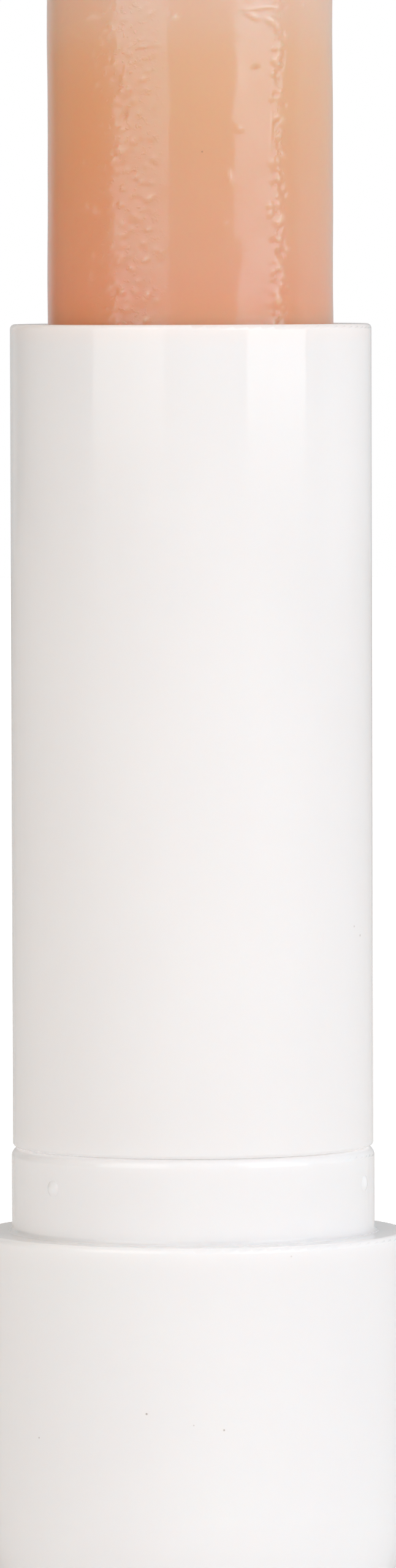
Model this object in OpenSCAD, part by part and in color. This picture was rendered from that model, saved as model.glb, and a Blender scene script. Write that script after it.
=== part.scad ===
// Twist-up lip balm stick, uncapped, with the balm wound partly out of its tube.
// The base holds a fixed screw. The tube turns on the base and carries the
// follower round by its keys, so the follower climbs or descends the screw
// and the balm, moulded onto the follower, moves with it.

/* [Base shell] */
// Diameter of the base, the part that is held
base_d = 17.5; // [16.8:0.1:22]
// Height from the foot to the shoulder
base_h = 17; // [14:0.5:26]
// Height at which the side starts to curve in towards the foot
toe_h = 5.8; // [4:0.1:7]
// How far the foot's edge lies inside the side of the base
foot_inset = 3.05; // [1:0.05:3.5]
// Thickness of the floor that the screw stands on
floor_t = 2.2; // [1.7:0.1:3.5]
// Rounding of the shoulder's outer edge
shoulder_edge_r = 0.22; // [0.1:0.02:0.4]

/* [Collar] */
// How far the collar, which a cap slides over, stands out past the tube
collar_step = 0.05; // [0:0.01:0.1]
// Height of the collar above the shoulder
collar_h = 3.45; // [3:0.05:6]
// Rounding of the collar's top edge
collar_edge_r = 0.36; // [0.1:0.02:0.5]
// Fillet where the collar meets the shoulder
collar_foot_r = 0.18; // [0.05:0.01:0.4]
// Number of bumps that hold a cap
bump_count = 3; // [2:1:6]
// Direction of the first bump, in degrees from +X
bump_angle = -20; // [-60:1:60]
// Height of the bumps' middle above the shoulder
bump_z = 2.1; // [1:0.05:2.5]
// Width of a bump on the collar's face
bump_w = 0.66; // [0.4:0.02:1]
// How far a bump stands out of the collar
bump_out = 0.1; // [0.06:0.01:0.2]

/* [Tube] */
// Outer diameter of the tube
tube_d = 14.7; // [14:0.1:14.8]
// Length of the tube from the collar to the rim
tube_len = 33.5; // [24:0.5:40]
// Wall of the tube
tube_wall = 1.4; // [1.2:0.05:1.8]
// Rounding of the rim's outer edge
rim_outer_r = 0.2; // [0.05:0.01:0.4]
// Rounding of the rim's inner edge
rim_inner_r = 0.25; // [0.05:0.01:0.4]
// Rounding of the tube's lower outer edge
tube_foot_r = 0.15; // [0.05:0.01:0.3]
// Wall of the skirt that runs down inside the base
skirt_wall = 0.55; // [0.4:0.05:0.6]
// Depth of the snap bead's top below the shoulder
bead_drop = 1.3; // [0.8:0.1:3]
// Height of the snap bead
bead_h = 0.8; // [0.6:0.05:1.5]
// How far the snap bead stands out of the skirt
bead_out = 0.25; // [0.15:0.01:0.35]

/* [Keyways] */
// Number of keyways in the tube
key_count = 4; // [2:1:6]
// Width of a keyway
key_w = 1.2; // [0.9:0.05:1.8]
// Depth of a keyway in the tube's bore
key_depth = 0.5; // [0.3:0.05:0.7]
// Distance of the keyways' closed upper end below the rim
key_stop = 3.75; // [2:0.25:8]

/* [Screw] */
// Diameter over the screw's crests
screw_d = 4; // [3.2:0.1:4.6]
// Depth of the thread
thread_depth = 0.6; // [0.4:0.05:0.8]
// Rise of the thread in one turn
thread_lead = 6; // [4:0.5:8]
// Number of thread starts
thread_starts = 2; // [1:1:3]
// Depth of the screw's tip below the rim
screw_drop = 4.5; // [3.5:0.25:8]
// Height of the screw's plain pointed tip
screw_tip_h = 0.8; // [0.4:0.1:1.5]

/* [Screw plug] */
// Diameter of the plug that closes the foot
plug_d = 9.2; // [7.5:0.1:9.6]
// Thickness of the plug's flange
plug_t = 0.9; // [0.6:0.05:1.2]
// How far the plug lies inside the foot
plug_recess = 0.4; // [0.2:0.05:0.45]
// Width of the ledge that the plug seats against
plug_ledge = 0.8; // [0.5:0.05:1.2]
// Number of splines that keep the plug from turning
spline_count = 6; // [3:1:8]
// Width of a spline
spline_w = 0.9; // [0.6:0.05:1.4]
// Depth of a spline
spline_depth = 0.4; // [0.25:0.05:0.6]
// Diameter of the dimple left by the mould's gate
gate_d = 1.8; // [1:0.1:3]

/* [Follower] */
// Height of the follower
follower_h = 4.5; // [3.5:0.25:7]
// Thickness of the follower's plate
plate_t = 1; // [0.7:0.05:1.6]
// Wall of the follower's rim
follower_wall = 0.8; // [0.6:0.05:1.2]
// Diameter of the nut in the follower's middle
nut_d = 6.8; // [6.4:0.1:8]
// Number of fins that anchor the balm
fin_count = 4; // [2:1:6]
// Height of the fins
fin_h = 4; // [2:0.25:8]
// Thickness of the fins
fin_t = 0.8; // [0.5:0.05:1.2]
// Wall of balm left outside the fins
fin_cover = 1; // [0.7:0.05:1.6]

/* [Balm] */
// Height of balm that shows above the rim
balm_out = 15; // [8:0.5:24]
// Length of the balm from the follower's plate to its tip
balm_len = 45.9; // [44:0.1:49]
// Height of the crown on the balm's end
balm_crown = 0.45; // [0.2:0.05:1]
// Rounding of the balm's upper edge
balm_edge_r = 1.4; // [0.6:0.1:2.5]

/* [Clearances] */
// Gap between the balm or follower and the tube's bore
bore_gap = 0.15; // [0.1:0.01:0.3]
// Gap round a key in its keyway
key_gap = 0.15; // [0.1:0.01:0.2]
// Gap between screw and nut
thread_gap = 0.2; // [0.15:0.01:0.25]
// Gap round the tube's skirt in the base
skirt_gap = 0.1; // [0.06:0.01:0.12]
// Gap between the tube and the top of the collar
seam_gap = 0.03; // [0.02:0.01:0.15]
// End play between the snap bead and its groove
bead_gap = 0.1; // [0.06:0.01:0.2]
// Gap round the plug in the foot
plug_gap = 0.03; // [0.02:0.01:0.05]
// Gap under the follower and the skirt at the bottom of the bore
floor_gap = 0.4; // [0.2:0.05:1]

/* [Hidden] */
$fn = 96;
overlap = 0.3;

// Radii, from the tube's bore outwards
bore_r = tube_d / 2 - tube_wall;
balm_r = bore_r - bore_gap;
skirt_r = bore_r + skirt_wall;
cup_r = skirt_r + skirt_gap;
bead_r = skirt_r + bead_out;
collar_r = tube_d / 2 + collar_step;
base_r = base_d / 2;

// Radius of the arc that runs from the side of the base down to its foot
toe_r = (pow(foot_inset, 2) + pow(toe_h, 2)) / (2 * foot_inset);
foot_r = base_r - foot_inset;

// Heights above the foot
seat_z = base_h + collar_h;
tube_z = seat_z + seam_gap;
rim_z = tube_z + tube_len;
skirt_z = floor_t + floor_gap;
groove_z = base_h - bead_drop;
key_top_z = rim_z - key_stop;
screw_top_z = rim_z - screw_drop;
balm_top_z = rim_z + balm_out;
plate_z = balm_top_z - balm_len;
plug_seat_z = plug_recess + plug_t;

// Travel of the follower down from this position, to its stop on the floor
travel_down = plate_z - follower_h - skirt_z;

// Screw, nut and the hole that the screw needs in the balm
screw_r = screw_d / 2;
core_r = screw_r - thread_depth;
balm_hole_r = screw_r + thread_gap;
balm_hole_z = screw_top_z + travel_down + floor_gap;
thread_sides = 20;
slices_per_turn = 14;

// Plug in the foot, and the ledge that it seats against
plug_r = plug_d / 2;
ledge_r = plug_r - plug_ledge;

// A key fills its keyway apart from the gap, and starts inside the nut's wall
key_r = bore_r + key_depth;
bar_r = nut_d / 2 - overlap;

// Copies spread evenly round the axis
module around(count, start = 0) {
    for (i = [0 : count - 1]) rotate([0, 0, start + i * 360 / count]) children();
}

// A bar that runs outwards from the axis, with its middle on +X
module radial_bar(r0, r1, width, z0, z1) {
    translate([r0, -width / 2, z0]) cube([r1 - r0, width, z1 - z0]);
}

// Area outside an arc in the corner at x, y; sx and sy point out of the corner
module corner(x, y, sx, sy, r) {
    translate([x, y]) scale([sx, sy]) translate([-r, -r])
        difference() {
            square(r + overlap);
            circle(r);
        }
}

// Fillet in the inner corner at x, y, filling the side towards +X and +Y
module fillet(x, y, r) {
    translate([x - overlap, y - overlap])
        difference() {
            square(r + overlap);
            translate([r + overlap, r + overlap]) circle(r);
        }
}

// Cross-section of the screw, grown by a gap; each start is one lobe
function lobe(a) = min(1, max(0, 0.5 + 0.85 * cos(thread_starts * a)));
function screw_section(gap) = [
    for (i = [0 : thread_sides - 1])
        let (a = 360 * i / thread_sides, r = core_r + gap + thread_depth * lobe(a))
        [r * cos(a), r * sin(a)]
];

// A stretch of the left-hand thread, in step with every other stretch of it
module thread(z0, z1, gap = 0) {
    turns = (z1 - z0) / thread_lead;
    translate([0, 0, z0]) rotate([0, 0, -360 * z0 / thread_lead])
        linear_extrude(height = z1 - z0, twist = 360 * turns, slices = ceil(turns * slices_per_turn),
            $fn = thread_sides)
            polygon(screw_section(gap));
}

// Outline of the base, its shoulder and its collar
module base_outline() {
    difference() {
        union() {
            intersection() {
                translate([base_r - toe_r, toe_h]) circle(toe_r);
                square([base_r, toe_h]);
            }
            square([foot_r, toe_h]);
            translate([0, toe_h]) square([base_r, base_h - toe_h]);
            translate([0, toe_h]) square([collar_r, seat_z - toe_h]);
            fillet(collar_r, base_h, collar_foot_r);
        }
        corner(base_r, base_h, 1, 1, shoulder_edge_r);
        corner(collar_r, seat_z, 1, 1, collar_edge_r);
    }
}

// Grip, shoulder and collar in one moulding, with a bore that guides the tube
module base_shell() {
    color([0.95, 0.94, 0.93]) {
        difference() {
            union() {
                rotate_extrude() base_outline();
                around(bump_count, bump_angle) cap_bump();
            }
            translate([0, 0, floor_t]) cylinder(h = seat_z, r = cup_r);
            translate([0, 0, groove_z - bead_h - bead_gap])
                cylinder(h = bead_h + bead_gap, r = bead_r + skirt_gap);
            translate([0, 0, -overlap]) cylinder(h = floor_t + 2 * overlap, r = ledge_r + plug_gap);
            translate([0, 0, -overlap]) cylinder(h = plug_seat_z + overlap, r = plug_r + plug_gap);
        }
        around(spline_count)
            radial_bar(plug_r - spline_depth, plug_r + overlap, spline_w, plug_recess, plug_seat_z);
    }
}

// Shallow round bump on the collar
module cap_bump() {
    r = (pow(bump_w / 2, 2) + pow(bump_out, 2)) / (2 * bump_out);
    translate([collar_r + bump_out - r, 0, base_h + bump_z]) sphere(r);
}

// Screw that stands on the plug closing the foot
module spindle() {
    color([0.93, 0.93, 0.91]) {
        difference() {
            union() {
                translate([0, 0, plug_recess]) cylinder(h = plug_t, r = plug_r);
                translate([0, 0, plug_recess]) cylinder(h = floor_t - plug_recess, r = ledge_r);
            }
            around(spline_count)
                radial_bar(plug_r - spline_depth - plug_gap, plug_r + overlap,
                    spline_w + 2 * plug_gap, 0, floor_t);
            cylinder(h = plug_recess + plug_t / 3, d = gate_d);
        }
        thread(plug_seat_z, screw_top_z - screw_tip_h);
        translate([0, 0, screw_top_z - screw_tip_h - overlap])
            cylinder(h = screw_tip_h + overlap, r1 = core_r, r2 = core_r / 2);
    }
}

// Half-section of the tube's wall and of the skirt with its snap bead
module tube_outline() {
    bead_top = groove_z - bead_gap;
    bead_low = groove_z - bead_h;
    difference() {
        translate([bore_r, tube_z]) square([tube_wall, tube_len]);
        corner(bore_r + tube_wall, rim_z, 1, 1, rim_outer_r);
        corner(bore_r, rim_z, -1, 1, rim_inner_r);
        corner(bore_r + tube_wall, tube_z, 1, -1, tube_foot_r);
    }
    polygon([
        [bore_r, skirt_z], [skirt_r, skirt_z], [skirt_r, bead_low], [bead_r, bead_top - bead_h / 4],
        [bead_r, bead_top], [skirt_r, bead_top], [skirt_r, tube_z + overlap], [bore_r, tube_z + overlap]
    ]);
}

// Visible tube and the slotted skirt that snaps into the base
module tube() {
    color([0.95, 0.94, 0.93])
        difference() {
            rotate_extrude() tube_outline();
            around(key_count) {
                radial_bar(bore_r - overlap, key_r, key_w, tube_z - overlap, key_top_z);
                radial_bar(bore_r - overlap, bead_r + overlap, key_w, skirt_z - overlap, tube_z - tube_foot_r);
            }
        }
}

// Keyed nut that climbs the screw, with fins that anchor the balm
module follower() {
    low_z = plate_z - follower_h;
    color([0.9, 0.9, 0.88]) {
        difference() {
            union() {
                difference() {
                    translate([0, 0, low_z]) cylinder(h = follower_h, r = balm_r);
                    translate([0, 0, low_z - overlap])
                        cylinder(h = follower_h - plate_t + overlap, r = balm_r - follower_wall);
                }
                translate([0, 0, low_z]) cylinder(h = follower_h, d = nut_d);
                around(key_count)
                    radial_bar(bar_r, key_r - key_gap, key_w - 2 * key_gap, low_z, plate_z);
            }
            thread(low_z - overlap, plate_z + overlap, thread_gap);
        }
        balm_fins(overlap);
    }
}

// Fins on the plate; sunk into it by a given depth to join it
module balm_fins(sunk) {
    around(fin_count, 180 / fin_count)
        radial_bar(bar_r - overlap, balm_r - fin_cover, fin_t, plate_z - sunk, plate_z + fin_h);
}

// Outline of the balm, with a low crown and a rounded edge
module balm_outline() {
    crown_r = (pow(balm_r, 2) + pow(balm_crown, 2)) / (2 * balm_crown);
    edge_x = balm_r - balm_edge_r;
    edge_z = balm_top_z - crown_r + sqrt(pow(crown_r - balm_edge_r, 2) - pow(edge_x, 2));
    meet_x = edge_x * crown_r / (crown_r - balm_edge_r);
    translate([0, plate_z]) square([balm_r, edge_z - plate_z]);
    translate([edge_x, edge_z]) circle(balm_edge_r);
    intersection() {
        translate([0, balm_top_z - crown_r]) circle(crown_r, $fn = 720);
        translate([0, edge_z - overlap]) square([meet_x, crown_r]);
    }
}

// Stick of balm moulded round the fins, with a hole for the screw
module balm() {
    color([0.88, 0.68, 0.53])
        difference() {
            rotate_extrude() balm_outline();
            translate([0, 0, plate_z - overlap])
                cylinder(h = balm_hole_z - plate_z + overlap, r = balm_hole_r);
            balm_fins(0);
        }
}

base_shell();
spindle();
tube();
follower();
balm();
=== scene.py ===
# %% [markdown]
# # A used lip balm stick
# The real object is a white plastic stick, moulded in gloss polypropylene, with
# a peach coloured balm wound some 15 mm out of it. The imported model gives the
# moulded parts at their true size, so they stay as they are and only get their
# finish here. The balm is the one piece that a moulding can't describe: it is
# a poured wax with ripples, dents and crumbs, so it is sculpted in code.

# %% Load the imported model
import math

import bpy
import numpy as np
from mathutils import Matrix, Vector


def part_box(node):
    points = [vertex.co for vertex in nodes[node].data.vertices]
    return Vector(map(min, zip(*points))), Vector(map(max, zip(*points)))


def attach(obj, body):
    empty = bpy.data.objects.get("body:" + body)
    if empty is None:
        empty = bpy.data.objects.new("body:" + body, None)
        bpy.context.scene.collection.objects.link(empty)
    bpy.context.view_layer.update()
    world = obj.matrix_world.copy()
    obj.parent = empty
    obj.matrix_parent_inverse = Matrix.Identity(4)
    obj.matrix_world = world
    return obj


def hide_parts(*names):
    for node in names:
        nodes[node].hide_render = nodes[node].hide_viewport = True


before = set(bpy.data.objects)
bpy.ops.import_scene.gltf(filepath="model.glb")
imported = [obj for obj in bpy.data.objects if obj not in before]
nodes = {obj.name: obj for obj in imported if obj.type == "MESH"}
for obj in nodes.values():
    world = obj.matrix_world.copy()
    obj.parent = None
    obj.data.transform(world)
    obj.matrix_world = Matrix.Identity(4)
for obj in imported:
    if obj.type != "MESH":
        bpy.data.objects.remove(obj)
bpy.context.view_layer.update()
MM = 0.001
print("nodes:", ", ".join(sorted(nodes)))

# %% [markdown]
# The stick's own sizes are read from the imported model, so the balm, the
# camera and the materials follow it if the model changes.

# %% Sizes read from the model
base_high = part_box("base_shell")[1]
tube_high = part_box("tube")[1]
balm_low, balm_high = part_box("balm")
rim_z = tube_high.z
tube_r = tube_high.x
base_r = base_high.x
balm_r = balm_high.x
seam_z = base_high.z
print(f"rim at {rim_z / MM:.2f} mm, tip at {balm_high.z / MM:.2f} mm, balm {2 * balm_r / MM:.2f} mm across")

# %% [markdown]
# ## Small helpers for nodes
# Materials and the world are built from nodes. These few functions keep the
# wiring short: each makes one node and gives back the socket to go on from.
# What goes into a node may be a number, a colour or another node's result.

# %% Node helpers
def connect(tree, source, target):
    tree.links.new(source, target)


def feed(tree, socket, value):
    """Sets an input to a number or a colour, or joins another node's result to it."""
    if isinstance(value, bpy.types.NodeSocket):
        connect(tree, value, socket)
    elif isinstance(value, tuple):
        socket.default_value = (*value, 1)
    else:
        socket.default_value = value


def node(tree, kind, **settings):
    """A node with its properties set by name."""
    made = tree.nodes.new(kind)
    for name, value in settings.items():
        setattr(made, name, value)
    return made


def math_node(tree, operation, *values):
    """A Math node. MULTIPLY_ADD gives the first value times the second, plus the third."""
    made = node(tree, "ShaderNodeMath", operation=operation)
    for socket, value in zip(made.inputs, values):
        feed(tree, socket, value)
    return made.outputs["Value"]


# %% Nodes for noise, ranges and colours
def noise(tree, vector, scale, detail=2.0, roughness=0.5):
    """A Noise texture over the given vector. Gives the factor's socket."""
    made = node(tree, "ShaderNodeTexNoise")
    settings = (("Vector", vector), ("Scale", scale), ("Detail", detail), ("Roughness", roughness))
    for label, value in settings:
        feed(tree, made.inputs[label], value)
    return made.outputs["Fac"]


def remap(tree, value, low, high, to_low=0.0, to_high=1.0, smooth=False):
    """A Map Range node from low..high to to_low..to_high, held at both ends."""
    made = node(tree, "ShaderNodeMapRange", interpolation_type="SMOOTHSTEP" if smooth else "LINEAR")
    labels = ("Value", "From Min", "From Max", "To Min", "To Max")
    for label, bound in zip(labels, (value, low, high, to_low, to_high)):
        feed(tree, made.inputs[label], bound)
    return made.outputs["Result"]


def mix(tree, factor, a, b, blend="MIX"):
    """A colour between a and b, or b multiplied into a."""
    made = node(tree, "ShaderNodeMix", data_type="RGBA", blend_type=blend)
    for label, value in (("Factor", factor), ("A", a), ("B", b)):
        feed(tree, made.inputs[label], value)
    return made.outputs["Result"]


# %% [markdown]
# Every pattern here is laid over the surface point in the model's own frame,
# in metres, so a pattern stays on its piece when the stick moves or the
# camera goes round it.

# %% Places on the surface, groups and materials
def place_in(tree):
    """The surface point in the model's own frame, in metres."""
    return node(tree, "ShaderNodeTexCoord").outputs["Object"]


def coordinate(tree, axis):
    """X, Y or Z of the surface point."""
    split = node(tree, "ShaderNodeSeparateXYZ")
    connect(tree, place_in(tree), split.inputs["Vector"])
    return split.outputs[axis]


def new_group(name, inputs, outputs):
    """An empty shader group; inputs are (name, type, default) and outputs are (name, type)."""
    group = bpy.data.node_groups.new(name, "ShaderNodeTree")
    for label, kind, default in inputs:
        socket = group.interface.new_socket(label, in_out="INPUT", socket_type=kind)
        socket.default_value = default
    for label, kind in outputs:
        group.interface.new_socket(label, in_out="OUTPUT", socket_type=kind)
    enter = group.nodes.new("NodeGroupInput")
    leave = group.nodes.new("NodeGroupOutput")
    return group, enter.outputs, leave.inputs


def new_material(name):
    """A material with its Principled shader. Gives the material, its tree and the shader's inputs."""
    made = bpy.data.materials.new(name)
    made.use_nodes = True
    return made, made.node_tree, made.node_tree.nodes["Principled BSDF"].inputs


# %% [markdown]
# ## Camera
# The photograph was taken with a long lens, from about eye level with the
# tube's rim. Four things are read from it: the scale, the height of the rim
# in the picture, the line on which circles look flat (eye level), and how
# fast they open below that line, which gives the distance. A fraction of a
# degree of lean is read from the tube's sides. The camera is tilted down a
# little instead of shifted, so that views from other sides stay centred.

# %% Camera from the photograph's measures
PHOTO_W, PHOTO_H = 646, 2560
MM_PER_PX = 0.025
RIM_ROW = 530
EYE_ROW = 420
ROWS_TO_HORIZON_SLOPE = 18000
AXIS_COLUMN = 313.3
LEAN_DEG = 0.17
SENSOR_MM = 36

px = MM_PER_PX * MM
distance = ROWS_TO_HORIZON_SLOPE * px
eye_z = rim_z + (RIM_ROW - EYE_ROW) * px
middle_z = rim_z - (PHOTO_H / 2 - RIM_ROW) * px
side = (PHOTO_W / 2 - AXIS_COLUMN) * px
tilt = math.atan2(eye_z - middle_z, distance)
reach = math.hypot(eye_z - middle_z, distance)

camera = bpy.data.objects.new("camera", bpy.data.cameras.new("camera"))
bpy.context.scene.collection.objects.link(camera)
camera.data.sensor_width = SENSOR_MM
camera.data.lens = SENSOR_MM * reach / (PHOTO_H * px * math.cos(tilt))
camera.data.clip_start = 0.01
lean_turn = Matrix.Rotation(-math.radians(LEAN_DEG), 4, "Z")
turn = Matrix.Rotation(math.pi / 2 - tilt, 4, "X") @ lean_turn
camera.matrix_world = Matrix.Translation((side, -distance, eye_z)) @ turn
bpy.context.scene.camera = camera
print(f"lens {camera.data.lens:.0f} mm, {distance:.3f} m away, tilted {math.degrees(tilt):.2f} degrees")

# %% [markdown]
# ## Light
# Both softboxes can be read back from their reflections in the balm. A
# vertical cylinder sends the eye's ray off at twice the angle of the spot it
# meets, so the edges of each bright strip give the edges of each softbox.
# Angles here are counted from the front of the stick, to the right.

# %% Softboxes
SOFTBOX_AWAY = 1.0
SOFTBOX_LOW, SOFTBOX_HIGH = 0.035, 1.6


def towards(angle_deg, length):
    """A point at that angle round the stick's axis; angle zero is the front."""
    a = math.radians(angle_deg)
    return Vector((math.sin(a) * length, -math.cos(a) * length, 0))


def softbox(name, angle_from, angle_to, radiance, colour):
    """A flat lamp that stands on edge, facing the stick, of a given brightness."""
    middle = (angle_from + angle_to) / 2
    half = math.radians(angle_to - angle_from) / 2
    lamp = bpy.data.lights.new(name, "AREA")
    lamp.shape = "RECTANGLE"
    lamp.size = 2 * SOFTBOX_AWAY * math.tan(half)
    lamp.size_y = SOFTBOX_HIGH - SOFTBOX_LOW
    lamp.color = colour
    lamp.energy = radiance * math.pi * lamp.size * lamp.size_y
    box = bpy.data.objects.new(name, lamp)
    bpy.context.scene.collection.objects.link(box)
    place = towards(middle, SOFTBOX_AWAY)
    place.z = (SOFTBOX_LOW + SOFTBOX_HIGH) / 2
    facing = Vector((-place.x, -place.y, 0)).to_track_quat("-Z", "Y")
    box.matrix_world = Matrix.Translation(place) @ facing.to_matrix().to_4x4()
    print(f"{name}: {lamp.size:.2f} by {lamp.size_y:.2f} m, {lamp.energy:.1f} W")


softbox("left_softbox", -65, -17, 1.25, (1.0, 0.965, 0.915))
softbox("right_softbox", 36, 78, 1.85, (1.0, 0.995, 1.0))

# %% [markdown]
# The rest of the light comes from all round. Up to some 30 degrees above the
# horizon its strength can be read in the balm, which mirrors that band: dim
# on the left, white behind, and brighter on the right. What lies higher
# only shows in the soft shading of the white plastic, and is set to match
# it. Each band is a list of strengths or colours at angles round the stick.
# The direction of the sky is used here, never the place of the camera, so
# the light stays put in every view. The camera itself sees plain white.

# %% World: the light round the stick
LOW_UP_TO, HIGH_FROM = 0.42, 0.71  # sines of the height above the horizon
LOW_BAND = [(-180, 0.55), (-155, 0.55), (-140, 0.15), (-70, 0.12), (-60, 0.60), (92, 0.60),
            (102, 0.95), (140, 0.68), (180, 0.52)]
HIGH_BAND = [(-180, (0.25, 0.20, 0.12)), (-120, (0.47, 0.38, 0.25)), (-60, (0.78, 0.68, 0.59)),
             (0, (0.55, 0.53, 0.58)), (60, (0.46, 0.54, 0.62)), (120, (0.45, 0.47, 0.50)),
             (180, (0.25, 0.20, 0.12))]


def ramp(tree, stops, low, high, position):
    """A colour ramp; stops are (place, colour) with places from low to high, position is 0 to 1."""
    made = node(tree, "ShaderNodeValToRGB")
    connect(tree, position, made.inputs["Fac"])
    elements = made.color_ramp.elements
    elements.remove(elements[1])
    for i, (place, colour) in enumerate(stops):
        share = (place - low) / (high - low)
        element = elements[0] if i == 0 else elements.new(share)
        element.position = share
        element.color = (*colour, 1)
    return made.outputs["Color"]


def round_ramp(tree, stops, position):
    """A ramp whose stops are angles round the stick, -180 to 180 degrees."""
    colours = [(angle, value if isinstance(value, tuple) else (value,) * 3) for angle, value in stops]
    return ramp(tree, colours, -180, 180, position)


# %% World: its nodes
world = bpy.data.worlds.new("cove")
bpy.context.scene.world = world
world.use_nodes = True
sky = world.node_tree
sky.nodes.clear()
split = node(sky, "ShaderNodeSeparateXYZ")
connect(sky, node(sky, "ShaderNodeTexCoord").outputs["Generated"], split.inputs["Vector"])
ahead = math_node(sky, "MULTIPLY", split.outputs["Y"], -1.0)
angle = math_node(sky, "ARCTAN2", split.outputs["X"], ahead)
position = remap(sky, angle, -math.pi, math.pi)
rise = remap(sky, split.outputs["Z"], LOW_UP_TO, HIGH_FROM, smooth=True)
light = mix(sky, rise, round_ramp(sky, LOW_BAND, position), round_ramp(sky, HIGH_BAND, position))
choose = node(sky, "ShaderNodeMixShader")
connect(sky, node(sky, "ShaderNodeLightPath").outputs["Is Camera Ray"], choose.inputs["Fac"])
for slot, colour in ((1, light), (2, (1, 1, 1))):
    background = node(sky, "ShaderNodeBackground")
    feed(sky, background.inputs["Color"], colour)
    connect(sky, background.outputs["Background"], choose.inputs[slot])
connect(sky, choose.outputs["Shader"], node(sky, "ShaderNodeOutputWorld").inputs["Surface"])
print("world set, with", len(LOW_BAND), "and", len(HIGH_BAND), "stops round the stick")

# %% [markdown]
# ## Floor
# The stick stands on a pale sheet. It renders close to white by its own
# colour; a little glow that only the camera sees brings it to the white of
# the photograph, where it meets the backdrop unseen, and leaves the shadow
# in place.

# %% Floor
FLOOR_HALF = 1.5
PAPER_GLOW = 0.56
corners = [(-1, -1), (1, -1), (1, 1), (-1, 1)]
floor_mesh = bpy.data.meshes.new("floor")
floor_mesh.from_pydata([(x * FLOOR_HALF, y * FLOOR_HALF, 0) for x, y in corners], [], [(0, 1, 2, 3)])
floor = bpy.data.objects.new("floor", floor_mesh)
bpy.context.scene.collection.objects.link(floor)
paper, tree, skin = new_material("white_paper")
skin["Base Color"].default_value = (0.96, 0.955, 0.955, 1)
skin["Roughness"].default_value = 0.7
skin["Specular IOR Level"].default_value = 0.2
skin["Emission Color"].default_value = (1, 1, 1, 1)
seen = node(tree, "ShaderNodeLightPath").outputs["Is Camera Ray"]
connect(tree, math_node(tree, "MULTIPLY", seen, PAPER_GLOW), skin["Emission Strength"])
floor_mesh.materials.append(paper)
bpy.context.scene.view_settings.view_transform = "Standard"
print(f"floor laid, {2 * FLOOR_HALF:.0f} m square")

# %% [markdown]
# ## Finishes that several materials share
# An effect that more than one material needs is a node group with named
# sockets. Each group puts out masks, values or heights; the shader itself
# stays in the material, where the gloss of each surface can be set.

# %% [markdown]
# A moulded skin is never a perfect mirror of its steel tool. It has a broad
# waviness from shrinkage, and a finer ripple that softens reflections. The
# group gives both as one height, and a slow mottle for colour and gloss.

# %% Group: moulded skin
skin_group, skin_in, skin_out = new_group(
    "Moulded skin",
    [("Wave Scale", "NodeSocketFloat", 300.0), ("Ripple Scale", "NodeSocketFloat", 2500.0),
     ("Ripple Share", "NodeSocketFloat", 0.3)],
    [("Height", "NodeSocketFloat"), ("Mottle", "NodeSocketFloat")],
)
point = place_in(skin_group)
wave = noise(skin_group, point, skin_in["Wave Scale"], 1.0)
ripple = noise(skin_group, point, skin_in["Ripple Scale"], 2.0)
fine = math_node(skin_group, "MULTIPLY", ripple, skin_in["Ripple Share"])
connect(skin_group, math_node(skin_group, "ADD", wave, fine), skin_out["Height"])
mottle = noise(skin_group, point, 120.0, 3.0, 0.6)
connect(skin_group, remap(skin_group, mottle, 0.3, 0.7, smooth=True), skin_out["Mottle"])
print("group:", skin_group.name)

# %% [markdown]
# Handling leaves fine hairline scratches, and a cap leaves lengthwise ones.
# A noise stretched along the stick and cut at a high threshold gives short
# faint lines that only change the gloss.

# %% Group: scuffs
scuff_group, scuff_in, scuff_out = new_group(
    "Scuffs",
    [("Across", "NodeSocketFloat", 6000.0), ("Along", "NodeSocketFloat", 500.0),
     ("Threshold", "NodeSocketFloat", 0.66)],
    [("Mask", "NodeSocketFloat")],
)
point = place_in(scuff_group)
stretch = node(scuff_group, "ShaderNodeVectorMath", operation="MULTIPLY")
factors = node(scuff_group, "ShaderNodeCombineXYZ")
for label, socket in (("X", "Across"), ("Y", "Across"), ("Z", "Along")):
    connect(scuff_group, scuff_in[socket], factors.inputs[label])
connect(scuff_group, point, stretch.inputs[0])
connect(scuff_group, factors.outputs["Vector"], stretch.inputs[1])
lines = noise(scuff_group, stretch.outputs["Vector"], 1.0, 1.0)
above = math_node(scuff_group, "ADD", scuff_in["Threshold"], 0.08)
connect(scuff_group, remap(scuff_group, lines, scuff_in["Threshold"], above), scuff_out["Mask"])
print("group:", scuff_group.name)

# %% [markdown]
# A few dark motes sit on the plastic and one is set in the balm. Each is a
# small ball round a point on the surface, so it stays on the object from
# every side. A little noise on the distance keeps the dots from being round.

# %% Group: mote
mote_group, mote_in, mote_out = new_group(
    "Mote",
    [("Centre", "NodeSocketVector", (0.0, 0.0, 0.0)), ("Radius", "NodeSocketFloat", 0.00005)],
    [("Mask", "NodeSocketFloat")],
)
point = place_in(mote_group)
apart = node(mote_group, "ShaderNodeVectorMath", operation="DISTANCE")
connect(mote_group, point, apart.inputs[0])
connect(mote_group, mote_in["Centre"], apart.inputs[1])
ragged = math_node(mote_group, "MULTIPLY_ADD", noise(mote_group, point, 9000.0, 1.0), 0.9, 0.55)
edge = math_node(mote_group, "MULTIPLY", mote_in["Radius"], ragged)
soft = math_node(mote_group, "MULTIPLY", edge, 0.45)
faded = remap(mote_group, apart.outputs["Value"], soft, edge, 1.0, 0.0)
connect(mote_group, faded, mote_out["Mask"])
print("group:", mote_group.name)
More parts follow.
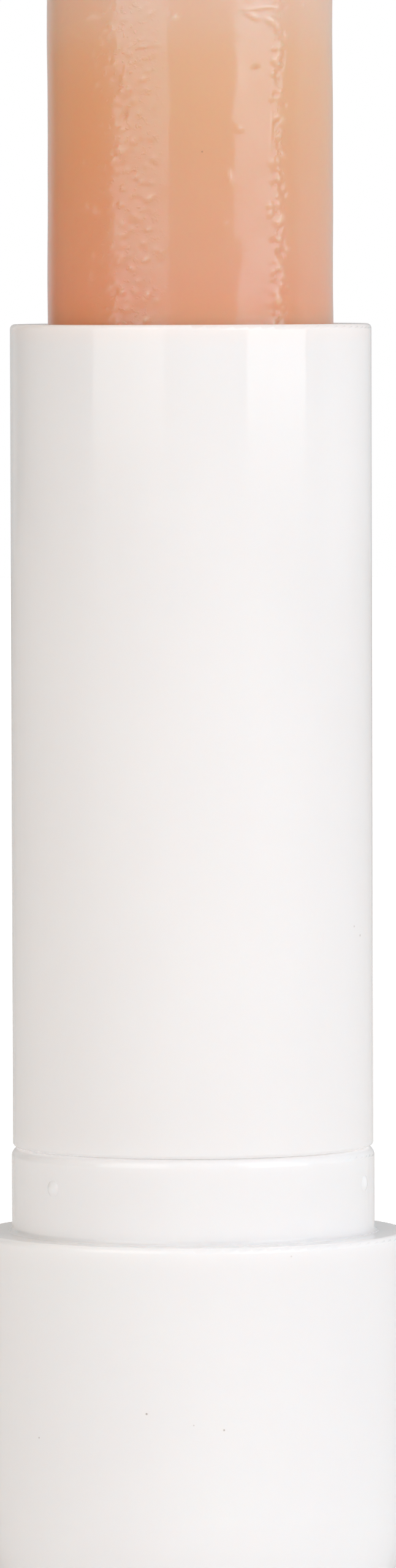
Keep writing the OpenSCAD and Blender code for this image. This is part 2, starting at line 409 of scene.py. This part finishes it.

# %% [markdown]
# Some things change with height. The balm is creamier and duller near its
# tip, and the tube's rim gets a painted peach tint, a painted bounce light from
# the balm. The group gives 0 below one height, 1 above another and an even
# change between them.

# %% Group: height fade
fade_group, fade_in, fade_out = new_group(
    "Height fade",
    [("Low", "NodeSocketFloat", 0.0), ("High", "NodeSocketFloat", 0.01)],
    [("Fade", "NodeSocketFloat")],
)
faded = remap(fade_group, coordinate(fade_group, "Z"), fade_in["Low"], fade_in["High"])
connect(fade_group, faded, fade_out["Fade"])
print("group:", fade_group.name)

# %% [markdown]
# A painted glow lightens the seam between tube and collar, so the seam is a soft
# grey line and not a black one: an emission that stands in for light running
# inside the milky walls. The group masks a narrow band at one height.

# %% Group: height band
band_group, band_in, band_out = new_group(
    "Height band",
    [("Middle", "NodeSocketFloat", 0.0), ("Half Width", "NodeSocketFloat", 0.0001)],
    [("Mask", "NodeSocketFloat")],
)
off = math_node(band_group, "SUBTRACT", coordinate(band_group, "Z"), band_in["Middle"])
off = math_node(band_group, "ABSOLUTE", off)
connect(band_group, remap(band_group, off, 0.0, band_in["Half Width"], 1.0, 0.0), band_out["Mask"])
print("group:", band_group.name)

# %% [markdown]
# A material places a group with values of its own. Two more helpers turn a
# height into relief for the shading, and an angle round the stick into a
# point on its wall.

# %% Helpers for materials
def use(tree, group, **values):
    """A group placed in a material with its own values. Gives the outputs."""
    made = node(tree, "ShaderNodeGroup", node_tree=group)
    for name, value in values.items():
        made.inputs[name.replace("_", " ")].default_value = value
    return made.outputs


def bump(tree, height, depth_mm, target):
    """Raises the shading normal by a height from 0 to 1, worth depth_mm of relief."""
    made = node(tree, "ShaderNodeBump")
    made.inputs["Distance"].default_value = depth_mm * MM
    connect(tree, height, made.inputs["Height"])
    connect(tree, made.outputs["Normal"], target)


def on_side(angle_deg, radius, z_mm):
    """A point on a round wall, by its angle from the front and its height."""
    spot = towards(angle_deg, radius)
    return (spot.x, spot.y, z_mm * MM)


# %% [markdown]
# ## White plastic
# Tube and base are much the same gloss white. Its colour leans slightly warm, the
# gloss is soft because of the fine ripple, and light goes a little way into
# it. Each gets its own motes, at the places where the real ones lie. A mote
# is: angle from the front, radius of the wall, height in mm, size in mm, and
# how dark it is. The seam is lightened by a painted glow of the two faces, and
# the tube's rim by a painted peach bounce light from the balm.

# %% White plastic
SEAM_HALF_MM = 0.08
SEAM_PAINTED_GLOW = 0.15


def white_plastic(name, pale, motes, bounce_from=None, bounce_to=None):
    made, tree, skin = new_material(name)
    relief = use(tree, skin_group, Wave_Scale=160.0, Ripple_Scale=1800.0, Ripple_Share=0.22)
    scuffs = use(tree, scuff_group, Across=4200.0, Along=260.0, Threshold=0.74)
    colour = mix(tree, relief["Mottle"], tuple(0.985 * c for c in pale), pale)
    # Painted bounce light: a peach tint at the tube's rim stands in for light thrown onto it by the balm.
    if bounce_from is not None:
        painted_bounce = use(tree, fade_group, Low=bounce_from, High=bounce_to)["Fade"]
        faint = math_node(tree, "MULTIPLY", painted_bounce, 0.35)
        colour = mix(tree, faint, colour, (0.93, 0.80, 0.74))
    for angle, radius, z_mm, size_mm, strength in motes:
        dot = use(tree, mote_group, Centre=on_side(angle, radius, z_mm), Radius=size_mm * MM)["Mask"]
        colour = mix(tree, math_node(tree, "MULTIPLY", dot, strength), colour, (0.28, 0.22, 0.18))
    connect(tree, colour, skin["Base Color"])
    gloss = math_node(tree, "MULTIPLY_ADD", relief["Mottle"], 0.03, 0.05)
    connect(tree, math_node(tree, "MULTIPLY_ADD", scuffs["Mask"], 0.03, gloss), skin["Roughness"])
    skin["IOR"].default_value = 1.49
    skin["Subsurface Weight"].default_value = 1.0
    skin["Subsurface Radius"].default_value = (1.0, 0.9, 0.85)
    skin["Subsurface Scale"].default_value = 0.0005
    # Painted glow: a faint emission in the seam band stands in for light leaking through the walls.
    band = use(tree, band_group, Middle=seam_z, Half_Width=SEAM_HALF_MM * MM)["Mask"]
    connect(tree, mix(tree, band, (0.0, 0.0, 0.0), (1.0, 0.96, 0.94)), skin["Emission Color"])
    skin["Emission Strength"].default_value = SEAM_PAINTED_GLOW
    bump(tree, relief["Height"], 0.004, skin["Normal"])
    return made


def refinish(name, material):
    """Gives a node of the model a better material, in every slot it has."""
    for place in nodes[name].material_slots:
        place.material = material


# %% The tube's and the base's own white
tube_white = white_plastic(
    "tube_white", (0.916, 0.902, 0.903),
    [(63, tube_r, 29.6, 0.05, 0.35), (67.5, tube_r, 29.2, 0.06, 0.5)],
    rim_z - 0.9 * MM, rim_z + 0.1 * MM,
)
base_white = white_plastic(
    "base_white", (0.925, 0.916, 0.923),
    [(-12.5, base_r, 10.35, 0.06, 0.6), (8, base_r, 9.7, 0.05, 0.5), (0, base_r, 9.9, 0.04, 0.3),
     (-45.5, base_r, 9.15, 0.05, 0.5), (26.7, base_r, 16.6, 0.05, 0.25)],
)
refinish("tube", tube_white)
refinish("base_shell", base_white)
print("white plastic on tube and base")

# %% [markdown]
# ## Natural plastic
# Screw and follower are uncoloured polypropylene: a little yellower, a
# little milky and less glossy, because nobody sees them.

# %% Natural plastic
natural, tree, skin = new_material("natural_plastic_satin")
relief = use(tree, skin_group, Wave_Scale=260.0, Ripple_Scale=3200.0, Ripple_Share=0.5)
scuffs = use(tree, scuff_group, Across=4200.0, Along=800.0, Threshold=0.62)
connect(tree, mix(tree, relief["Mottle"], (0.74, 0.72, 0.67), (0.80, 0.78, 0.73)), skin["Base Color"])
connect(tree, math_node(tree, "MULTIPLY_ADD", scuffs["Mask"], 0.12, 0.42), skin["Roughness"])
skin["IOR"].default_value = 1.49
skin["Subsurface Weight"].default_value = 0.4
skin["Subsurface Radius"].default_value = (1.0, 0.9, 0.75)
skin["Subsurface Scale"].default_value = 0.0015
bump(tree, relief["Height"], 0.008, skin["Normal"])
refinish("spindle", natural)
refinish("follower", natural)
print("natural plastic on screw and follower")

# %% [markdown]
# ## The balm's shape
# The balm was poured warm into its tube, pushed up, and used. So it starts
# as the plain turned form of the model: a straight side, a rounded edge and
# a low crown. Then relief is added straight to the points, along the normal:
# a slow waviness, small lumps and pits scattered over the side, creases
# near the tip, and streaks on the top where it was drawn over the lips.
# Mesh relief is better than bump here, because it breaks up the edges of
# the reflections and also shows in the outline and in the mesh itself.
# The rows lie closest where the balm stands out of the tube.

# %% Balm outline
EDGE_R = 1.4 * MM
CROWN = 0.45 * MM
HOLE_R = 2.2 * MM
HOLE_END = 3.1 * MM
SEGMENTS = 400
ROWS_INSIDE, ROWS_OUTSIDE, ROWS_EDGE, ROWS_CROWN = 36, 160, 18, 28
INSIDE_DEPTH = 1.0 * MM


def balm_outline():
    """Points from the foot of the balm up its side and over the crown: radius, height, normal."""
    crown_r = (balm_r ** 2 + CROWN ** 2) / (2 * CROWN)
    edge_x = balm_r - EDGE_R
    edge_z = balm_high.z - crown_r + math.sqrt((crown_r - EDGE_R) ** 2 - edge_x ** 2)
    meet = math.asin(edge_x / (crown_r - EDGE_R))
    inside_top = rim_z - INSIDE_DEPTH
    heights = [*np.linspace(balm_low.z, inside_top, ROWS_INSIDE, endpoint=False),
               *np.linspace(inside_top, edge_z, ROWS_OUTSIDE, endpoint=False)]
    rows = [(balm_r, z, 1.0, 0.0) for z in heights]
    for a in np.linspace(0, math.pi / 2 - meet, ROWS_EDGE, endpoint=False):
        c, s = math.cos(a), math.sin(a)
        rows.append((edge_x + EDGE_R * c, edge_z + EDGE_R * s, c, s))
    for a in np.linspace(meet, 0, ROWS_CROWN, endpoint=False):
        c, s = math.cos(a), math.sin(a)
        rows.append((crown_r * s, balm_high.z - crown_r * (1 - c), s, c))
    return np.array(rows)


outline = balm_outline()
print("balm outline:", len(outline), "rows of", SEGMENTS)

# %% [markdown]
# The larger lumps, dents and smears are set one by one. Each mark is: angle
# from the front, mm above the rim, half length and half width in mm, slant
# in degrees, and rise in mm, which is below zero for a pit. A mark is a
# smooth hill, so marks can lie over each other and add up.

# %% Marks left in the balm
MARKS = [
    (30, 12.76, 0.65, 0.05, 5, 0.08), (26, 12.41, 0.25, 0.08, -20, 0.07), (35, 12.2, 0.27, 0.11, -25, 0.09),
    (-19, 11.19, 0.2, 0.05, 0, 0.04), (-13, 11.23, 0.14, 0.04, 0, 0.04), (-5, 12.35, 0.12, 0.11, 0, 0.05),
    (-8, 12.45, 0.05, 0.09, 0, 0.03), (-19, 9.88, 0.09, 0.08, 0, 0.04), (-25, 9.5, 0.1, 0.09, 0, 0.04),
    (-27, 8.38, 0.22, 0.09, 50, -0.06), (-28, 7.85, 0.13, 0.06, 10, 0.05), (-23, 7.38, 0.07, 0.09, 0, 0.04),
    (-30, 7.03, 0.11, 0.08, 0, 0.04), (38, 10.93, 0.12, 0.23, 0, 0.05), (27, 10.23, 0.15, 0.11, 15, -0.05),
    (20, 7.88, 0.13, 0.07, -20, 0.05), (16, 5.9, 0.28, 0.06, -72, 0.05), (14, 4.08, 0.05, 0.08, 0, 0.04),
    (38, 4.12, 0.14, 0.14, 0, 0.07), (37, 1.25, 0.15, 0.16, 0, 0.07), (-16, 5.12, 0.15, 0.07, 25, 0.05),
    (-22, 5.95, 0.1, 0.07, 0, 0.04), (-20, 5.75, 0.08, 0.07, 0, 0.04), (-28, 5.48, 0.1, 0.05, -35, 0.04),
    (-33, 4.78, 0.06, 0.08, 0, 0.03), (-17, 3.83, 0.09, 0.07, 0, 0.04), (-19, 3.28, 0.08, 0.05, 0, 0.04),
    (-18, 2.62, 0.11, 0.07, 35, 0.06), (-30, 2.53, 0.08, 0.07, 0, 0.04), (-24, 2.28, 0.14, 0.06, -40, 0.05),
    (-17, 1.24, 0.07, 0.1, 0, 0.05), (-28, 1.3, 0.09, 0.06, -10, 0.04), (-18, 0.2, 0.08, 0.08, 0, 0.05),
    (-42, 12.45, 0.24, 0.12, 0, 0.03), (-34, 11.6, 0.06, 0.08, 0, 0.03), (-32, 10.43, 0.07, 0.06, 0, 0.03),
    (-36, 11.8, 0.13, 0.05, 0, 0.03), (52, 12.9, 0.11, 0.09, 0, 0.04), (34, 8.1, 1.17, 0.06, 88, 0.03),
    (-29, 7.3, 0.45, 0.9, 0, 0.022), (-33, 9.9, 0.4, 0.8, 0, -0.018), (-31, 3.6, 0.4, 0.7, 0, 0.02),
    (-29, 0.9, 0.4, 0.6, 0, 0.005), (-30, 12.0, 0.5, 0.7, 0, 0.016), (21, 9.9, 0.4, 0.9, 0, 0.016),
    (18, 2.6, 0.35, 0.8, 0, -0.014),
]


def bumps_at(across, up, marks, relief):
    """Adds smooth marks to the relief; across and up are distances over the side, in metres."""
    for angle, above, half_long, half_wide, slant, rise in marks:
        middle_x, middle_y = math.radians(angle) * balm_r, rim_z + above * MM
        turn_by = math.radians(slant)
        dx = (across - middle_x + math.pi * balm_r) % (2 * math.pi * balm_r) - math.pi * balm_r
        dy = up - middle_y
        along = (dx * math.cos(turn_by) + dy * math.sin(turn_by)) / (half_long * MM)
        over = (dy * math.cos(turn_by) - dx * math.sin(turn_by)) / (half_wide * MM)
        relief += rise * MM * np.exp(-(along ** 2 + over ** 2))
    return relief


print(len(MARKS), "marks placed by hand")

# %% [markdown]
# Poured wax is never quite round. Five slow waves, each with its own number
# of turns round the stick and its own length along it, bend the straight
# reflections a little. They are drawn from a seeded generator, so every run
# gives the same balm.

# %% Relief: slow waves
WAVES = ((2, 31, 0.010), (3, 17, 0.010), (5, 9, 0.008), (9, 5, 0.005), (14, 2.6, 0.003))
rng = np.random.default_rng(21)
angles = np.linspace(0, 2 * math.pi, SEGMENTS, endpoint=False)
steps_up = np.hypot(np.diff(outline[:, 0]), np.diff(outline[:, 1]))
along_side = np.concatenate([[0], np.cumsum(steps_up)])
up = np.repeat((balm_low.z + along_side)[:, None], SEGMENTS, 1)
across = np.repeat((angles * balm_r)[None, :], len(outline), 0)

relief = np.zeros_like(up)
for waves, length_mm, depth_mm in WAVES:
    shift_a, shift_z = rng.uniform(0, 2 * math.pi, 2)
    swing = np.sin(waves * across / balm_r + shift_a + 0.8 * np.sin(up / (length_mm * 1.7 * MM)))
    relief += depth_mm * MM * swing * np.sin(2 * math.pi * up / (length_mm * MM) + shift_z)
print(f"waves from {relief.min() / MM:.3f} to {relief.max() / MM:.3f} mm")

# %% [markdown]
# Small crumbs were rubbed up where the balm was handled. They lie in four
# patches, two in front and two behind; each patch is: middle angle, spread
# in degrees, number of crumbs, and the highest in mm. Low swells lie all
# over, the part inside the tube has a few too, and short creases ring the
# tip. What stands out by rubbing is kept apart in raised, since the material
# makes it paler, partly as rubbed-up wax and partly as a painted highlight.

# %% Relief: crumbs, swells and creases
ROUGH_PATCHES = [(-26, 8, 240, 0.024), (38, 1.9, 150, 0.055), (150, 20, 200, 0.02), (-150, 18, 200, 0.02)]
SWELLS, INSIDE_LUMPS, CREASES = 160, 90, 90
raised = np.zeros_like(up)
for middle, spread, count, highest in ROUGH_PATCHES:
    for _ in range(count):
        size = rng.uniform(0.06, 0.13)
        rise = rng.choice([-0.6, 1]) * rng.uniform(0.3, 1.0) * highest
        place = (rng.normal(middle, spread), rng.uniform(-0.5, 13.6))
        mark = (*place, size * rng.uniform(0.9, 1.6), size, rng.uniform(-90, 90), rise)
        raised = bumps_at(across, up, [mark], raised)
raised = bumps_at(across, up, MARKS, raised)

for _ in range(SWELLS):
    size = rng.uniform(0.1, 0.3)
    place = (rng.uniform(-180, 180), rng.uniform(-0.5, 14.2))
    mark = (*place, size * 1.3, size, rng.uniform(-90, 90), 0.003)
    relief = bumps_at(across, up, [mark], relief)
for _ in range(INSIDE_LUMPS):
    place = (rng.uniform(-180, 180), rng.uniform(-30, 0))
    mark = (*place, rng.uniform(0.1, 0.4), rng.uniform(0.1, 0.3), 0, 0.008)
    relief = bumps_at(across, up, [mark], relief)
for _ in range(CREASES):
    size = rng.uniform(0.1, 0.3)
    rise = rng.choice([-1, 1]) * rng.uniform(0.005, 0.016)
    place = (rng.uniform(-180, 180), rng.uniform(11.2, 13.4))
    mark = (*place, size, 0.07, rng.uniform(-30, 30), rise)
    relief = bumps_at(across, up, [mark], relief)
relief += raised
print(f"relief from {relief.min() / MM:.3f} to {relief.max() / MM:.3f} mm")

# %% [markdown]
# The tip was drawn over the lips, so its crown carries fine parallel streaks
# and it leans down a little towards the right. Both fade out towards the
# side.

# %% Worn tip
STREAK_DEPTH = 0.012 * MM
STREAK_SLANT = math.radians(25)
TIP_LEAN = math.radians(1.6)
LEAN_FROM, LEAN_OVER, LEAN_SHARE = 11.0 * MM, 3.0 * MM, 0.35
radius, height = outline[:, 0][:, None], outline[:, 1][:, None]
x_flat, y_flat = radius * np.sin(angles), -radius * np.cos(angles)
on_top = np.clip((balm_r - radius) / EDGE_R, 0, 1)
cut = (x_flat * math.sin(STREAK_SLANT) + y_flat * math.cos(STREAK_SLANT)) / MM
streaks = np.sin(cut / 0.21) + 0.7 * np.sin(cut / 0.085 + 1.3) + 0.5 * np.sin(cut / 0.6)
worn = -STREAK_DEPTH * on_top * (1.5 + streaks)
lowered = -(np.clip(height - rim_z - LEAN_FROM, 0, None) / LEAN_OVER) ** 2
lean = lowered * math.tan(TIP_LEAN) * (x_flat + balm_r) * LEAN_SHARE
print(f"the tip leans down by up to {-lean.min() / MM:.2f} mm")

# %% [markdown]
# ## The balm's mesh
# Rows of points become one closed skin: up the side, over the crown, and
# underneath round the hole that the screw runs in. The relief pushes each
# point along its row's normal, and is held inside the model's own box.

# %% Balm mesh: points
MOST_PUSH = 0.09 * MM


def ring(radii, heights):
    """Points of one row; angle zero is the front and angles grow to the right."""
    return np.stack([radii * np.sin(angles), -radii * np.cos(angles), heights * np.ones(SEGMENTS)], 1)


rings = []
for i, (r, z, out_r, out_z) in enumerate(outline):
    push = np.minimum(relief[i] + worn[i], MOST_PUSH)
    rings.append(ring(r + push * out_r, np.minimum(z + push * out_z + lean[i], balm_high.z)))
hole_top = balm_high.z - HOLE_END
rows = [ring(HOLE_R, hole_top), ring(HOLE_R, balm_low.z)] + rings
points = np.concatenate(rows + [[[0, 0, hole_top]], [[0, 0, rings[-1][:, 2].mean()]]])
print("balm:", len(rows), "rings and", len(points), "points")

# %% Balm mesh: faces
faces = []
for i in range(len(rows) - 1):
    for j in range(SEGMENTS):
        k = (j + 1) % SEGMENTS
        low, high = i * SEGMENTS, (i + 1) * SEGMENTS
        faces.append((low + j, low + k, high + k, high + j))
hole_centre, tip_centre = len(rows) * SEGMENTS, len(rows) * SEGMENTS + 1
last = (len(rows) - 1) * SEGMENTS
for j in range(SEGMENTS):
    k = (j + 1) % SEGMENTS
    faces.append((hole_centre, k, j))
    faces.append((last + j, last + k, tip_centre))
balm_mesh = bpy.data.meshes.new("balm_stick")
balm_mesh.from_pydata(points.tolist(), [], faces)
balm_mesh.validate()
balm_mesh.polygons.foreach_set("use_smooth", [True] * len(balm_mesh.polygons))
balm = bpy.data.objects.new("balm_stick", balm_mesh)
bpy.context.scene.collection.objects.link(balm)
print("balm mesh:", len(balm_mesh.vertices), "points,", 2 * len(balm_mesh.polygons), "triangles at most")

# %% [markdown]
# The mesh carries two values at each point for its material. "crumbs" is
# high in the rough patches, where the shading gets a fine grain. The other
# follows the height of what was rubbed up and makes it paler, partly as
# rubbed-up wax and partly as a painted highlight on the raised marks.

# %% Balm mesh: values for the material
FULL_SCRAPE = 0.045 * MM
WIDER = 1.6
UNDERSIDE, CENTRES = np.zeros(2 * SEGMENTS), np.zeros(2)
shares = [np.exp(-(((np.degrees(angles) - middle + 180) % 360 - 180) / (WIDER * spread)) ** 2)
          for middle, spread, _, _ in ROUGH_PATCHES]
crumbs = np.append(np.tile(np.clip(sum(shares), 0.05, 1), len(rows)), CENTRES)
scraped_and_highlight = np.concatenate([UNDERSIDE, np.clip(raised.ravel() / FULL_SCRAPE, 0, 1), CENTRES])
for name, values in (("crumbs", crumbs), ("scraped_and_highlight", scraped_and_highlight)):
    balm_mesh.attributes.new(name, "FLOAT", "POINT").data.foreach_set("value", values)
print(f"scraped: {(scraped_and_highlight > 0.5).sum()} points more than half")

# %% [markdown]
# ## The balm's finish
# Balm is wax and oil. Light enters, spreads a millimetre or two and comes
# out warmer, so most of its colour comes from subsurface scattering. The
# colour under the skin runs from salmon near the tube to cream at the tip,
# given here in mm above the rim. Just above the rim a redder band is painted
# light and shade where the balm meets the tube. The left side is a little
# redder, a painted shade for the side that gets less light, apart from the
# tip. Inside the tube the salmon goes back to the plain colour.

# %% Balm material: colour by place
TINT_FROM, TINT_TO = -7.0, 14.0
# The stops at -0.1 and 0.6 mm are a painted redder band just above the rim: painted light and shade where
# the balm meets the tube.
TINTS_AND_PAINTED_RIM = [(-6.6, (0.752, 0.385, 0.23)), (-0.1, (0.86, 0.385, 0.208)), (0.6, (0.80, 0.356, 0.190)),
         (1.5, (0.76, 0.367, 0.213)), (2.8, (0.752, 0.391, 0.230)), (6.8, (0.755, 0.421, 0.238)),
         (8.8, (0.76, 0.443, 0.251)), (10.8, (0.763, 0.466, 0.280)), (12.0, (0.757, 0.495, 0.328)),
         (13.1, (0.742, 0.506, 0.355))]
wax, tree, skin = new_material("peach_balm")
above_rim = use(tree, fade_group, Low=rim_z + TINT_FROM * MM, High=rim_z + TINT_TO * MM)["Fade"]
shade = ramp(tree, TINTS_AND_PAINTED_RIM, TINT_FROM, TINT_TO, above_rim)
# Painted shade: the left side, turned from the brighter light, is made redder, and below the tip its lower
# part darker and deeper red.
painted_shade_left = remap(tree, coordinate(tree, "X"), -1.0 * MM, -4.5 * MM, smooth=True)
below_tip = remap(tree, coordinate(tree, "Z"), rim_z + 12.5 * MM, rim_z + 9 * MM, smooth=True)
painted_shade_low_left = math_node(tree, "MULTIPLY", painted_shade_left, below_tip)
for mask, tone in ((painted_shade_left, (1.07, 1.0, 0.96)), (painted_shade_low_left, (1.0, 0.90, 0.83))):
    shade = mix(tree, mask, shade, tone, "MULTIPLY")
print("tints:", len(TINTS_AND_PAINTED_RIM), "stops from the tube to the tip")

# %% [markdown]
# Over that come a slow cloudiness, the paler rubbed-up wax with a painted
# highlight on its raised marks, and one dark speck.

# %% Balm material: clouds, scrapes and a speck
SPECK = on_side(4.8, balm_r, rim_z / MM + 6.93)
skin_relief = use(tree, skin_group, Wave_Scale=420.0, Ripple_Scale=3600.0, Ripple_Share=0.35)
cloudy = math_node(tree, "MULTIPLY", skin_relief["Mottle"], 0.15)
colour = mix(tree, cloudy, shade, (0.78, 0.46, 0.30))
# Painted highlight: raised, rubbed-up marks are mixed paler, which is partly the real paler wax.
scraped_and_highlight_mask = node(tree, "ShaderNodeAttribute", attribute_name="scraped_and_highlight").outputs["Fac"]
colour = mix(tree, math_node(tree, "MULTIPLY", scraped_and_highlight_mask, 0.2), colour, (0.90, 0.70, 0.58))
speck = use(tree, mote_group, Centre=SPECK, Radius=0.05 * MM)["Mask"]
colour = mix(tree, math_node(tree, "MULTIPLY", speck, 0.6), colour, (0.30, 0.16, 0.08))
connect(tree, colour, skin["Base Color"])
skin["Subsurface Weight"].default_value = 1.0
skin["Subsurface Radius"].default_value = (1.0, 0.35, 0.2)
skin["Subsurface Scale"].default_value = 0.0035
print("balm coloured")

# %% [markdown]
# The gloss has two layers. The skin itself mirrors the softboxes as clear
# strips, cool beside the warm wax. A thin film of oil over it scatters
# light widely: it is the coat, half rough, and it makes the whole surface
# hazy. Towards the worn tip the clear gloss gets duller and the haze
# stronger, so the strips fade out there. The clear gloss stays under 0.26
# all over, because a denoised render shows a line where it goes past that.

# %% Balm material: gloss and haze
worn_tip = use(tree, fade_group, Low=rim_z + 11 * MM, High=rim_z + 13.2 * MM)["Fade"]
duller = remap(tree, worn_tip, 0.0, 1.0, 0.10, 0.19)
connect(tree, math_node(tree, "MULTIPLY_ADD", skin_relief["Mottle"], 0.06, duller), skin["Roughness"])
skin["IOR"].default_value = 1.66
skin["Specular Tint"].default_value = (0.44, 0.74, 1.0, 1)
connect(tree, remap(tree, worn_tip, 0.0, 1.0, 0.38, 1.0), skin["Coat Weight"])
skin["Coat IOR"].default_value = 1.55
skin["Coat Roughness"].default_value = 0.5
print("balm glossed")

# %% [markdown]
# The last touch is a fine bump: the skin's own ripple all over, and a sharp
# grain in the rough patches. The sculpted piece then takes the place of the
# model's plain balm, and rides on the same carrier.

# %% Balm material: fine bump, and the piece in its place
rough_patches = node(tree, "ShaderNodeAttribute", attribute_name="crumbs").outputs["Fac"]
grain = remap(tree, noise(tree, place_in(tree), 4200.0, 2.0), 0.56, 0.72, smooth=True)
grain = math_node(tree, "MULTIPLY", grain, rough_patches)
bump(tree, math_node(tree, "ADD", skin_relief["Height"], grain), 0.009, skin["Normal"])
balm_mesh.materials.append(wax)
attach(balm, "carrier")
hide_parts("balm")
print("balm finished, riding on carrier")

# %% [markdown]
# ## Last step
# The scene is brought up to date.

bpy.context.view_layer.update()
